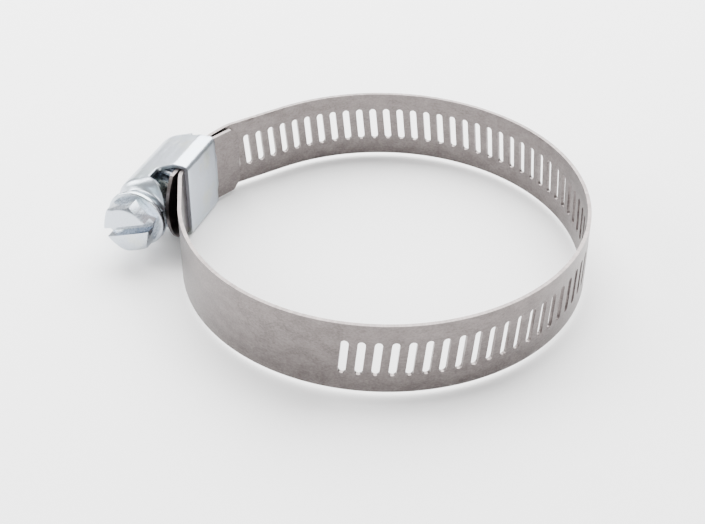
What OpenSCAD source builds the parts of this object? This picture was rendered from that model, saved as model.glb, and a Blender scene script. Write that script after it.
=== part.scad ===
// Worm-drive hose and pipe clamp: a perforated band closed by a screw in a one-piece housing.
// Origin: centre of the clamped bore, at the middle of the band's width. +Z runs along the bore,
// the housing lies on the -X side and the screw head points towards -Y.

/* [Band] */
// Radius of the bore that the open clamp leaves
bore_r = 33.5; // [26:0.5:45]
// Width of the band
band_w = 12.7; // [10.5:0.1:16]
// Thickness of the band
band_t = 0.6; // [0.45:0.05:0.8]
// Length of a slot, end to end
slot_l = 6.4; // [5:0.1:8]
// Width of a slot
slot_w = 1.2; // [0.9:0.05:1.4]
// Number of slots in the band
slot_count = 64; // [50:1:74]
// How far the tail's rounded end stands past its square corners
tail_round = 2.6; // [1.5:0.1:4]
// Length of the fixed end that shows past the housing
tongue_l = 6.3; // [4:0.1:7.5]

/* [Screw] */
// Pitch of the thread, and so of the slots
pitch = 2.54; // [2:0.02:3]
// Crest radius of the thread
crest_r = 4.55; // [4.3:0.05:5]
// Depth of the thread above its core
thread_h = 0.65; // [0.55:0.05:0.75]
// Radius of the plain neck that turns in the housing's nose
neck_r = 3.25; // [2.7:0.05:3.35]
// Radius of the collar under the head
collar_r = 5.15; // [4.8:0.05:5.6]
// Thickness of the collar
collar_t = 0.9; // [0.6:0.1:1.5]
// Width of the hexagon across its flats
hex_af = 8; // [6.4:0.1:8.6]
// Height of the hexagon
hex_h = 3.6; // [3:0.1:6]
// Width of the driver slot
drive_w = 1.6; // [1:0.1:1.8]
// Depth of the driver slot
drive_d = 2; // [1:0.1:2.4]

/* [Housing] */
// Thickness of the housing's sheet
sheet_t = 0.7; // [0.5:0.05:0.8]
// Length of the housing's wrap around the band
wrap_l = 10.4; // [9:0.1:12]
// How far the tunnel runs on past the wrap, towards the screw's free end
hood_l = 1.2; // [0.5:0.1:2]
// Length of the half tunnel between the wrap and the nose
bridge_l = 3.2; // [2.6:0.1:4]
// Length of the nose that holds the screw's neck
nose_l = 3.7; // [3.4:0.1:4.6]

/* [Fits] */
// Radial clearance of the neck in the nose
neck_gap = 0.05; // [0.02:0.01:0.09]
// Clearance between the saddle and the bore
saddle_gap = 0.05; // [0.02:0.01:0.2]
// Clearance between the saddle and the fixed end of the band
seat_gap = 0.03; // [0.01:0.01:0.1]
// Clearance between the fixed end and the sliding band above it
ply_gap = 0.3; // [0.2:0.05:0.5]
// Clearance at each edge of the band in the housing
edge_gap = 0.1; // [0.05:0.05:0.3]
// Clearance of the thread under the tunnel
tunnel_gap = 0.2; // [0.1:0.05:0.4]
// Clearance between the band and the screw's core
core_gap = 0.2; // [0.1:0.05:0.3]
// Gap between two links of the band
link_gap = 0.14; // [0.1:0.02:0.2]

/* [Hidden] */
$fn = 120;
tiny = 0.01;
// Overlap of two stretches of one piece
lap = 0.02;
// Sheet above the band and below the free flap
band_room = 0.12;
// Play of the collar along the screw
collar_gap = 0.15;

// Stack from the bore outwards: saddle, fixed run, sliding run, screw.
mid_r = bore_r + band_t / 2;
saddle_u = bore_r + saddle_gap;
fixed_u = saddle_u + sheet_t + seat_gap + band_t / 2;
slide_u = fixed_u + band_t + ply_gap;
core_r = crest_r - thread_h;
screw_u = slide_u + band_t / 2 + core_gap + core_r;

// Places along the screw.
wrap_y = wrap_l / 2;
hood_y = wrap_y + hood_l;
bridge_y = -wrap_y - bridge_l;
nose_y = bridge_y - nose_l;
collar_back_y = nose_y - collar_gap;
collar_y = collar_back_y - collar_t;
head_y = collar_y - hex_h;

// The sliding run leaves the housing straight, turns at two hinges and meets the bore circle.
// Headings are clockwise from +Y, in degrees.
function ahead(h) = [sin(h), cos(h)];
function outward(h) = [-cos(h), sin(h)];
first_y = wrap_y + 1;
short_l = 2 * pitch;
first_p = [-slide_u, first_y];
function lead_miss(a) = (first_p + short_l * ahead(a)) * outward(2 * a) - mid_r;
function lead_bend(lo, hi, n) =
    n == 0 ? (lo + hi) / 2 :
    let (m = (lo + hi) / 2) lead_miss(m) > 0 ? lead_bend(m, hi, n - 1) : lead_bend(lo, m, n - 1);
bend_a = lead_bend(6, 30, 30);
lead_a = 2 * bend_a;
second_p = first_p + short_l * ahead(bend_a);
lead_end_p = mid_r * outward(lead_a);

// The fixed run bends round the housing's lower edge and meets the circle on the other side.
fixed_bend_y = wrap_y + 1;
fixed_bend_r = 6;
corner_p = [-fixed_u, -fixed_bend_y];
fixed_a = atan2(fixed_bend_y, fixed_u) + acos(mid_r / norm(corner_p));
fixed_end_p = mid_r * [-cos(fixed_a), -sin(fixed_a)];
bend_tangent = fixed_bend_r * tan(fixed_a / 2);

// Length along the band's middle, from the housing's middle out along the sliding run.
circle_s = first_y + short_l + norm(lead_end_p - second_p);
circle_end_s = circle_s + mid_r * (360 - lead_a - fixed_a) * PI / 180;

function band_p(s) =
    s <= first_y ? [-slide_u, s] :
    s <= first_y + short_l ? first_p + (s - first_y) * ahead(bend_a) :
    s <= circle_s ? second_p + (s - first_y - short_l) * ahead(lead_a) :
    mid_r * outward(band_h(s));
function round_h(s) = lead_a + (s - circle_s) / mid_r * 180 / PI;
function band_h(s) =
    s <= first_y ? 0 :
    s <= first_y + short_l ? bend_a :
    s <= circle_s ? lead_a :
    round_h(s);

// The hinges between links sit in the webs between slots.
corner_s = first_y + short_l;
short_links = 2;
long_links = 7;
links = short_links + long_links;
short_end_s = corner_s + short_links * short_l;
anchor_s = circle_end_s - 2;
// A link that starts this near the circle is curved over its whole length.
round_s = circle_s - 1.5;
long_l = (anchor_s - short_end_s) / long_links;
function hinge_s(i) =
    i == 0 ? first_y :
    i <= short_links ? corner_s + i * short_l :
    i == links ? anchor_s :
    first_y + pitch * round((short_end_s + (i - short_links) * long_l - first_y) / pitch);
tip_hinge_s = first_y - 4 * pitch;
slots_before = 5;
tail_corner_s = first_y - (slots_before + 0.4) * pitch;
tail_end_s = tail_corner_s - tail_round;
thread_s = first_y - 2.5 * pitch;
lean = atan(pitch / (2 * PI * (crest_r - thread_h / 2)));

LINK_NODES = ["band_link_1", "band_link_2", "band_link_3", "band_link_4", "band_link_5",
              "band_link_6", "band_link_7", "band_link_8", "band_link_9"];

// Flat strip of band from point p along heading h.
module flat_run(p, h, l) {
    translate([p[0], p[1], 0]) rotate([0, 0, -h])
        translate([-band_t / 2, 0, -band_w / 2]) cube([band_t, l, band_w]);
}

// Curved strip of band on the bore circle, between two lengths along it.
module round_run(s0, s1) {
    span = round_h(s1) - round_h(s0);
    rotate([0, 0, 180 - round_h(s1)]) rotate_extrude(angle = span, $fn = 360)
        translate([bore_r, -band_w / 2]) square([band_t, band_w]);
}

// One slot's cutter: round ends, leaning with the thread.
module slot_cutter(s) {
    straight = slot_l - slot_w;
    p = band_p(s);
    translate([p[0], p[1], 0]) rotate([0, 0, -band_h(s)]) rotate([lean, 0, 0]) {
        cube([4 * band_t, slot_w, straight], center = true);
        for (side = [-1, 1]) translate([0, 0, side * straight / 2]) rotate([0, 90, 0])
            cylinder(d = slot_w, h = 4 * band_t, center = true, $fn = 32);
    }
}

// The slots whose middles fall between two lengths along the band.
module slots(s0, s1) {
    for (k = [0 : slot_count - 1]) {
        s = first_y + (k + 0.5 - slots_before) * pitch;
        if (s > s0 && s < s1) slot_cutter(s);
    }
}

// Strip of band along its stations. A station is a place on the band's middle, a heading and how
// far the faces stand off there, which is more where the strip turns.
module strip(line) {
    last = len(line) - 1;
    translate([0, 0, -band_w / 2]) linear_extrude(band_w)
        polygon([for (q = line) q[0] + q[2] * outward(q[1]),
                 for (i = [0 : last]) let (q = line[last - i]) q[0] - q[2] * outward(q[1])]);
}
function station(p, h, turn = 0) = [p, h, band_t / 2 / cos(turn / 2)];

// A link of the band between hinges i and i + 1. The first holds the corner of the sliding run.
module band_link(i) {
    s0 = hinge_s(i) + link_gap / 2;
    s1 = hinge_s(i + 1) - link_gap / 2;
    flat_s = min(s1, circle_s + lap);
    color("lightgray") difference() {
        union() {
            if (s0 < round_s)
                strip([station(band_p(s0), band_h(s0)),
                       if (s0 < corner_s) station(second_p, 1.5 * bend_a, bend_a),
                       station(band_p(flat_s), band_h(flat_s))]);
            if (s1 > circle_s) round_run(s0 < round_s ? circle_s : s0, s1);
        }
        slots(s0, s1);
    }
}

// The sliding run inside the housing.
module band_tail() {
    s0 = tip_hinge_s + link_gap / 2;
    color("lightgray") difference() {
        flat_run([-slide_u, s0], 0, first_y - link_gap / 2 - s0);
        slots(s0, first_y);
    }
}

// The free end of the band, rounded across its width.
module band_tail_tip() {
    s1 = tip_hinge_s - link_gap / 2;
    half = band_w / 2;
    end_r = (half * half + tail_round * tail_round) / (2 * tail_round);
    color("lightgray") difference() {
        intersection() {
            flat_run([-slide_u, tail_end_s], 0, s1 - tail_end_s);
            union() {
                translate([-slide_u - band_t, tail_end_s + end_r, 0]) rotate([0, 90, 0])
                    cylinder(r = end_r, h = 2 * band_t);
                translate([-slide_u - band_t, tail_corner_s, -half]) cube([2 * band_t, end_r * 2, band_w]);
            }
        }
        slots(tail_corner_s, s1);
    }
}

// The fixed end: round the housing's lower edge, over the saddle and on as a tongue, which leans
// in until it just clears the bore.
tongue_y = wrap_y + 0.2;
tongue_cut = 1.6;
tongue_lean = atan2(tongue_y, fixed_u) + acos((mid_r + band_room) / norm([fixed_u, tongue_y]));
window_y = wrap_y - 0.35;
window_l = 1.3;
window_w = 6;
tab_w = window_w - 0.6;
tab_t = 0.25;

function anchor_line() =
    let (h0 = round_h(anchor_s + link_gap / 2), h1 = 360 - fixed_a, steps = 6,
         kink = [-fixed_u, tongue_y], bend_c = [fixed_bend_r - fixed_u, bend_tangent - fixed_bend_y])
    [for (i = [0 : steps]) let (h = h0 + (h1 - h0) * i / steps) station(mid_r * outward(h), h),
     for (i = [0 : steps]) let (h = h1 + fixed_a * i / steps)
         station(bend_c + fixed_bend_r * outward(h), h),
     station(kink, tongue_lean / 2, tongue_lean),
     station(kink + tongue_l * ahead(tongue_lean), tongue_lean)];

module band_anchor() {
    line = anchor_line();
    end_p = line[len(line) - 1][0];
    half = band_w / 2;
    color("lightgray") difference() {
        strip(line);
        translate([-fixed_u - band_t, window_y, -window_w / 2]) cube([2 * band_t, window_l, window_w]);
        for (side = [0, 1]) mirror([0, 0, side]) translate([end_p[0], end_p[1], 0])
            rotate([0, 0, -tongue_lean]) translate([-band_t, 0, 0]) rotate([0, 90, 0])
                linear_extrude(2 * band_t)
                    polygon([[tongue_cut + 1 - half, 1], [-half - 1, 1], [-half - 1, -tongue_cut - 1]]);
    }
}

// Outline of the housing across the screw: tunnel over the screw, flanks and saddle.
module section(grow) {
    r = crest_r + tunnel_gap + grow;
    half = band_w / 2 + edge_gap + grow;
    inner_r = sheet_t / 2;
    knee_u = slide_u + band_t / 2 + inner_r;
    low_u = saddle_u + sheet_t - grow;
    corner_r = inner_r + grow;
    reach = norm([screw_u - knee_u, half]);
    touch = atan2(half, screw_u - knee_u) + acos(r / reach);
    translate([-screw_u, 0]) circle(r = r);
    polygon([[-screw_u + r * cos(touch), r * sin(touch)], [-knee_u, half],
             [-low_u - corner_r, half], [-low_u - corner_r, -half],
             [-knee_u, -half], [-screw_u + r * cos(touch), -r * sin(touch)]]);
    translate([-low_u - corner_r - tiny, corner_r - half]) square([corner_r + tiny, 2 * (half - corner_r)]);
    for (side = [-1, 1]) translate([-low_u - corner_r, side * (half - corner_r)]) circle(r = corner_r);
}

// Runs a shape drawn in the X-Z plane along Y, from y1 up to y2.
module along_y(y1, y2) {
    translate([0, y2, 0]) rotate([90, 0, 0]) linear_extrude(y2 - y1) children();
}

// Sheet profile of the nose: it necks in round the screw and flares again to the collar.
module nose_profile() {
    out_r = crest_r + tunnel_gap + sheet_t;
    hole_r = neck_r + neck_gap;
    polygon([[out_r - sheet_t, 0.4], [out_r, 0.4], [out_r, 0], [out_r - 0.3, -0.4],
             [hole_r + sheet_t + 0.15, -1.1], [hole_r + sheet_t, -1.4], [hole_r + sheet_t, -2],
             [hole_r + sheet_t + 0.6, -nose_l], [hole_r + 0.7, -nose_l], [hole_r, -2.3],
             [hole_r, -1.2], [out_r - sheet_t - 0.3, -0.5], [out_r - sheet_t, -0.2]]);
}

module housing() {
    shell_r = crest_r + tunnel_gap + sheet_t;
    flank_u = screw_u - core_r / 2;
    band_top_u = slide_u + band_t / 2 + band_room;
    color("gainsboro") union() {
        difference() {
            union() {
                along_y(-wrap_y, wrap_y) section(sheet_t);
                along_y(bridge_y, hood_y) intersection() {
                    section(sheet_t);
                    translate([-screw_u - shell_r, -shell_r])
                        square([shell_r + screw_u - flank_u, 2 * shell_r]);
                }
            }
            along_y(bridge_y - 1, hood_y + 1) section(0);
        }
        difference() {
            translate([-screw_u, bridge_y, 0]) rotate([-90, 0, 0]) rotate_extrude() nose_profile();
            translate([-band_top_u, nose_y - 1, -band_w]) cube([10, nose_l + 2, 2 * band_w]);
        }
        // Tab turned up from the saddle into the fixed end's window.
        translate([-fixed_u - band_t / 2, wrap_y - tab_t, -tab_w / 2])
            cube([fixed_u + band_t / 2 - saddle_u - lap, 2 * tab_t, tab_w]);
    }
}

// The threaded stretch is one closed skin: a helical ridge, the lands between its turns and flat
// ends. Each ring holds the four corners of the ridge at one angle.
thread_steps = 20;
thread_back = 2.25;
thread_turns = 4.25;
ridge_top = 0.3;
ridge_foot = 0.62;
rod_end = ridge_foot + 0.3;
function fade(q) = max(0.05, min(1, q / 0.3, (thread_turns - q) / 0.3));
function thread_ring(q) =
    let (z = (q - thread_back) * pitch, a = 360 * (q - thread_back),
         u = [cos(a), sin(a)], low = core_r * u, high = (core_r + thread_h * fade(q)) * u)
    [[low[0], low[1], z - ridge_foot], [high[0], high[1], z - ridge_top],
     [high[0], high[1], z + ridge_top], [low[0], low[1], z + ridge_foot]];

module threaded_rod() {
    steps = thread_steps;
    n = round(thread_turns * steps);
    foot = 4 * (n + 1);
    crown = foot + steps;
    function end_ring(first, z) = [for (j = [0 : steps - 1])
        let (a = 360 * ((first + j) / steps - thread_back)) [core_r * cos(a), core_r * sin(a), z]];
    points = concat([for (i = [0 : n]) each thread_ring(i / steps)],
                    end_ring(0, -thread_back * pitch - rod_end),
                    end_ring(n - steps, (thread_turns - thread_back) * pitch + rod_end));
    ridge = [for (i = [0 : n - 1]) for (j = [0 : 2])
        each [[4 * i + j, 4 * i + 4 + j, 4 * i + 5 + j], [4 * i + j, 4 * i + 5 + j, 4 * i + 1 + j]]];
    lands = [for (i = [0 : n - steps - 1]) let (k = i + steps)
        each [[4 * i + 3, 4 * i + 7, 4 * k + 4], [4 * i + 3, 4 * k + 4, 4 * k]]];
    foot_wall = [for (i = [0 : steps - 2])
        each [[foot + i, foot + i + 1, 4 * i + 4], [foot + i, 4 * i + 4, 4 * i]]];
    crown_wall = [for (j = [1 : steps - 1]) let (i = n - steps + j, next = crown + (j + 1) % steps)
        each [[4 * i + 3, 4 * i + 7, next], [4 * i + 3, next, crown + j]]];
    seams = [[crown - 1, foot, 0, 3, 4 * steps, 4 * steps - 4],
             [crown + 1, crown, 4 * n + 3, 4 * n, 4 * (n - steps) + 3, 4 * (n - steps) + 7],
             [0, 1, 2, 3], [4 * n, 4 * n + 3, 4 * n + 2, 4 * n + 1],
             [for (j = [0 : steps - 1]) crown - 1 - j], [for (j = [0 : steps - 1]) crown + j]];
    skin = concat(ridge, lands, foot_wall, crown_wall, seams);
    polyhedron(points = points, faces = [for (f = skin) [for (k = [len(f) - 1 : -1 : 0]) f[k]]]);
}

// Turns of the hexagon and of the driver slot about the screw, in degrees.
hex_turn = 40;
drive_turn = -20;

// The hexagon, whose outer corners are turned off.
module hex_head() {
    corner_r = hex_af / sqrt(3);
    intersection() {
        rotate([0, 0, hex_turn]) cylinder(r = corner_r, h = hex_h, $fn = 6);
        union() {
            cylinder(r1 = hex_af / 2 - 0.15, r2 = corner_r, h = 0.8);
            translate([0, 0, 0.8]) cylinder(r = corner_r, h = hex_h);
        }
    }
}

module worm_screw() {
    core_y = bridge_y - tunnel_gap;
    tip_y = hood_y + sheet_t / 2;
    plain_r = core_r + lap;
    joined = 0.1;
    rod_low_y = thread_s - thread_back * pitch - rod_end;
    rod_high_y = thread_s + (thread_turns - thread_back) * pitch + rod_end;
    point_l = 0.5;
    color("whitesmoke") translate([-screw_u, 0, 0]) rotate([-90, 0, 0]) difference() {
        union() {
            translate([0, 0, head_y]) hex_head();
            translate([0, 0, collar_y]) cylinder(r = collar_r, h = collar_t);
            translate([0, 0, collar_back_y - tiny])
                cylinder(r = neck_r, h = core_y + 2 * tiny - collar_back_y);
            translate([0, 0, core_y]) cylinder(r = plain_r, h = rod_low_y + joined - core_y);
            translate([0, 0, thread_s]) threaded_rod();
            translate([0, 0, rod_high_y - joined])
                cylinder(r1 = plain_r, r2 = plain_r - point_l, h = tip_y + joined - rod_high_y);
        }
        rotate([0, 0, drive_turn]) translate([-hex_af, -drive_w / 2, head_y - 1])
            cube([2 * hex_af, drive_w, drive_d + 1]);
    }
}

housing();
worm_screw();
band_anchor();
band_tail();
band_tail_tip();
for (i = [0 : links - 1]) band_link(i);
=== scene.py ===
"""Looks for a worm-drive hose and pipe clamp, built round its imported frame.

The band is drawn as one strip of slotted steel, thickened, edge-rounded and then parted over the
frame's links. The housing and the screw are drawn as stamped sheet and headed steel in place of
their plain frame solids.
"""

from __future__ import annotations

import logging
import math
from dataclasses import dataclass, field
from enum import Enum
from typing import Callable, Iterable, Sequence

import bmesh
import bpy
from mathutils import Matrix, Vector

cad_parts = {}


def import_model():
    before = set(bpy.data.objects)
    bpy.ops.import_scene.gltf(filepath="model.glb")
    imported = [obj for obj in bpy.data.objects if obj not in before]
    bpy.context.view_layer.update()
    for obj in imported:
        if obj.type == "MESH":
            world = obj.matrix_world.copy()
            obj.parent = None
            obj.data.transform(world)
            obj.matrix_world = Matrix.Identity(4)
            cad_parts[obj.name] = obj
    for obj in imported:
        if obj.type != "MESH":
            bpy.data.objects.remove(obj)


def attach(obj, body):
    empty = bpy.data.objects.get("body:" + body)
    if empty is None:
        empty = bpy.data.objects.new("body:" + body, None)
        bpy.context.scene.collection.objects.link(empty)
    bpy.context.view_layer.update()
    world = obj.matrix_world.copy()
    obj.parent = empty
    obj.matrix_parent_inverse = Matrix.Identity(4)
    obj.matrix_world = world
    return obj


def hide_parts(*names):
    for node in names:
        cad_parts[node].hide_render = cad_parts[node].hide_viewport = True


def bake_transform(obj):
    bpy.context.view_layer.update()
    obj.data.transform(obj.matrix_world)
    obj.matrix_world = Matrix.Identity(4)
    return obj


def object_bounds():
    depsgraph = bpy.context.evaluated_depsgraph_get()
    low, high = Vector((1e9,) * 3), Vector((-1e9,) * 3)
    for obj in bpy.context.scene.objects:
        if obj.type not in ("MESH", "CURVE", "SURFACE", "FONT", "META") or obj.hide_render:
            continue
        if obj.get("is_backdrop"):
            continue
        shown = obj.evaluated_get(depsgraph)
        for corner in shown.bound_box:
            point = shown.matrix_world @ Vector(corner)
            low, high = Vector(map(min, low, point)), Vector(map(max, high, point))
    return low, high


LOG = logging.getLogger("pipe_clamp")
MM = 0.001
Point = tuple[float, float]
Colour = tuple[float, float, float, float]
Station = tuple[float, float, float, float]
Number = "float | Sock"


class Slot(Enum):
    """Names of the material slots."""

    BAND = "stainless_band"
    HOUSING = "zinc_housing"
    SCREW = "zinc_screw"


# ---- Shader building ----


@dataclass(frozen=True)
class Sock:
    """A number's output socket; arithmetic on it adds Math nodes to its tree."""

    tree: bpy.types.NodeTree
    out: bpy.types.NodeSocket

    def _math(self, operation: str, *values: Number) -> Sock:
        """Adds one Math node.

        Args:
            operation: Blender's name of the operation.
            values: the node's inputs, in order.

        Returns:
            The node's result.
        """
        node = self.tree.nodes.new("ShaderNodeMath")
        node.operation = operation
        for index, value in enumerate(values):
            if isinstance(value, Sock):
                self.tree.links.new(value.out, node.inputs[index])
            else:
                node.inputs[index].default_value = value
        return Sock(self.tree, node.outputs[0])

    def __add__(self, other: Number) -> Sock:
        """Sum."""
        return self._math("ADD", self, other)

    def __radd__(self, other: Number) -> Sock:
        """Sum, with the number first."""
        return self._math("ADD", other, self)

    def __sub__(self, other: Number) -> Sock:
        """Difference."""
        return self._math("SUBTRACT", self, other)

    def __rsub__(self, other: Number) -> Sock:
        """Difference, with the number first."""
        return self._math("SUBTRACT", other, self)

    def __mul__(self, other: Number) -> Sock:
        """Product."""
        return self._math("MULTIPLY", self, other)

    def __rmul__(self, other: Number) -> Sock:
        """Product, with the number first."""
        return self._math("MULTIPLY", other, self)

    def ramp(self, low: float, high: float) -> Sock:
        """Rises smoothly from 0 at low to 1 at high."""
        node = self.tree.nodes.new("ShaderNodeMapRange")
        node.interpolation_type = "SMOOTHSTEP"
        self.tree.links.new(self.out, node.inputs["Value"])
        node.inputs["From Min"].default_value = low
        node.inputs["From Max"].default_value = high
        return Sock(self.tree, node.outputs["Result"])


class Shader:
    """One material's node tree, with its Principled shader in place."""

    def __init__(self, name: str) -> None:
        """Starts a material.

        Args:
            name: the material's name.
        """
        self.material = bpy.data.materials.new(name)
        self.material.use_nodes = True
        self.tree = self.material.node_tree
        self.surface = self.tree.nodes["Principled BSDF"]

    def add(self, kind: str, settings: dict | None = None, **inputs: object) -> bpy.types.Node:
        """Adds one node.

        Args:
            kind: the node's type, without its ShaderNode prefix.
            settings: properties set before the inputs.
            inputs: values or links by socket name, with underscores for spaces.

        Returns:
            The new node.
        """
        node = self.tree.nodes.new("ShaderNode" + kind)
        for key, value in (settings or {}).items():
            setattr(node, key, value)
        for key, value in inputs.items():
            self.feed(node.inputs[key.replace("_", " ")], value)
        return node

    def feed(self, socket: bpy.types.NodeSocket, value: object) -> None:
        """Sets a socket to a value, or links it to a Sock or another node's socket.

        Args:
            socket: the input.
            value: a plain value, a Sock or a socket.
        """
        if isinstance(value, Sock):
            self.tree.links.new(value.out, socket)
        elif isinstance(value, bpy.types.NodeSocket):
            self.tree.links.new(value, socket)
        else:
            socket.default_value = value

    def place(self, attribute: str | None = None, stretch: Sequence[float] = (1, 1, 1)) -> Sock:
        """Coordinates to lay a pattern by.

        Args:
            attribute: a stored coordinate of the mesh, or None for the piece's own space.
            stretch: scale along each axis, in cycles per metre or per stored unit.

        Returns:
            The scaled coordinates.
        """
        if attribute:
            source = self.add("Attribute", {"attribute_name": attribute}).outputs["Vector"]
        else:
            source = self.add("TexCoord").outputs["Object"]
        scaled = self.add("VectorMath", {"operation": "MULTIPLY"})
        self.tree.links.new(source, scaled.inputs[0])
        scaled.inputs[1].default_value = stretch
        return Sock(self.tree, scaled.outputs[0])

    def noise(self, place: Sock, scale: float, detail: float = 3, rough: float = 0.5) -> Sock:
        """Fractal noise from 0 to 1 over the given coordinates."""
        node = self.add("TexNoise", None, Vector=place, Scale=scale, Detail=detail, Roughness=rough)
        return Sock(self.tree, node.outputs["Fac"])

    def mix(self, share: Number, first: object, second: object) -> Sock:
        """Blends two colours, all of first where share is 0.

        Args:
            share: the second colour's share.
            first: a colour or a link.
            second: a colour or a link.

        Returns:
            The blended colour.
        """
        node = self.add("Mix", {"data_type": "RGBA"})
        self.feed(node.inputs["Factor"], share)
        self.feed(node.inputs[6], first)
        self.feed(node.inputs[7], second)
        return Sock(self.tree, node.outputs[2])

    def bump(self, height: Sock, distance: float, strength: float, under: Sock | None = None) -> Sock:
        """Relief from a height, on top of an earlier relief where one is given.

        Args:
            height: the relief.
            distance: its depth in metres.
            strength: its share.
            under: the earlier relief.

        Returns:
            The bent normal.
        """
        node = self.add("Bump", None, Height=height, Distance=distance, Strength=strength)
        if under is not None:
            self.feed(node.inputs["Normal"], under)
        return Sock(self.tree, node.outputs["Normal"])

    def finish(self, color: object, metallic: float, rough: object, normal: Sock | None) -> None:
        """Feeds the Principled shader.

        Args:
            color: the base colour.
            metallic: 1 for metal.
            rough: the roughness.
            normal: the relief, if any.
        """
        self.feed(self.surface.inputs["Base Color"], color)
        self.surface.inputs["Metallic"].default_value = metallic
        self.feed(self.surface.inputs["Roughness"], rough)
        if normal is not None:
            self.feed(self.surface.inputs["Normal"], normal)


@dataclass(frozen=True)
class RolledStainless:
    """Cold rolled stainless strip: fine lengthwise grain, cloudy mottle, a painted highlight on its sheared
    edges and painted shade on its punched slot walls.
    """

    light: Colour = (0.22, 0.195, 0.19, 1.0)
    dark: Colour = (0.10, 0.087, 0.084, 1.0)
    # painted highlight: the sheared edges are lightened towards this colour
    edge: Colour = (0.62, 0.60, 0.59, 1.0)
    # painted shade: the punched slot walls are darkened towards this colour
    shade: Colour = (0.04, 0.036, 0.035, 1.0)
    roughness: float = 0.36

    def make(self) -> bpy.types.Material:
        """Builds the material. It reads the strip's stored place: length, width, edge share.

        Returns:
            The material.
        """
        shader = Shader("rolled_stainless")
        grain = shader.noise(shader.place("strip_place", (0.35, 9.0, 1.0)), 2.0, 4, 0.6)
        cloud = shader.noise(shader.place("strip_place", (0.35, 0.55, 1.0)), 1.0, 4, 0.6)
        speck = shader.noise(shader.place("strip_place", (1.5, 2.2, 1.0)), 1.4, 4, 0.75)
        split = shader.add("SeparateXYZ", None, Vector=shader.place("strip_place"))
        rim = Sock(shader.tree, split.outputs["Z"])
        share = (cloud * 0.35 + grain * 0.25 + speck * 0.5).ramp(0.35, 0.78)
        tone = shader.mix(share, self.dark, self.light)
        # painted shade on the punched slot walls and a painted highlight on the sheared edges, both laid by
        # the stored edge share
        punched = (rim * -1).ramp(0, 1)
        tone_with_painted_highlight = shader.mix(rim.ramp(0, 1) * 0.75, tone, self.edge)
        color = shader.mix(punched * 0.75, tone_with_painted_highlight, self.shade)
        rough = (grain - 0.5) * 0.16 + (cloud - 0.5) * 0.14 + self.roughness + (rim * rim) * 0.22
        relief = shader.bump(grain, 0.00003, 0.35)
        relief = shader.bump(speck, 0.00002, 0.25, relief)
        shader.finish(color, 1.0, rough, relief)
        return shader.material


@dataclass(frozen=True)
class BrightZinc:
    """Bright zinc plate: bluish white, faintly yellow and green in places, with rub marks."""

    name: str
    blue: Colour = (0.46, 0.50, 0.56, 1.0)
    straw: Colour = (0.52, 0.53, 0.44, 1.0)
    green: Colour = (0.36, 0.44, 0.43, 1.0)
    roughness: float = 0.32
    ripple: float = 0.5

    def make(self) -> bpy.types.Material:
        """Builds the material over the piece's own space.

        Returns:
            The material.
        """
        shader = Shader(self.name)
        tint = shader.noise(shader.place(), 230, 3, 0.55)
        shade = shader.noise(shader.place(), 120, 2, 0.5)
        rub = shader.noise(shader.place(None, (1.0, 0.12, 1.0)), 2600, 3, 0.7)
        dents = shader.noise(shader.place(), 480, 2, 0.5)
        speck = shader.noise(shader.place(), 5200, 2, 0.6)
        plate = shader.mix(tint.ramp(0.52, 0.72) * 0.55, self.blue, self.straw)
        plate = shader.mix(shade.ramp(0.5, 0.75) * 0.5, plate, self.green)
        rough = (rub - 0.5) * 0.1 + (speck - 0.5) * 0.12 + self.roughness
        relief = shader.bump(dents, 0.0002, self.ripple)
        relief = shader.bump(rub, 0.00002, 0.12, relief)
        shader.finish(plate, 1.0, rough, relief)
        return shader.material


@dataclass(frozen=True)
class PalePaper:
    """The studio's plain floor."""

    color: Colour = (0.95, 0.95, 0.95, 1.0)

    def make(self) -> bpy.types.Material:
        """Builds the material.

        Returns:
            The material.
        """
        shader = Shader("pale_paper")
        grain = shader.noise(shader.place(), 900, 2)
        shader.finish(self.color, 0.0, grain * 0.1 + 0.75, None)
        return shader.material


# ---- Sizes ----


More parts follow.
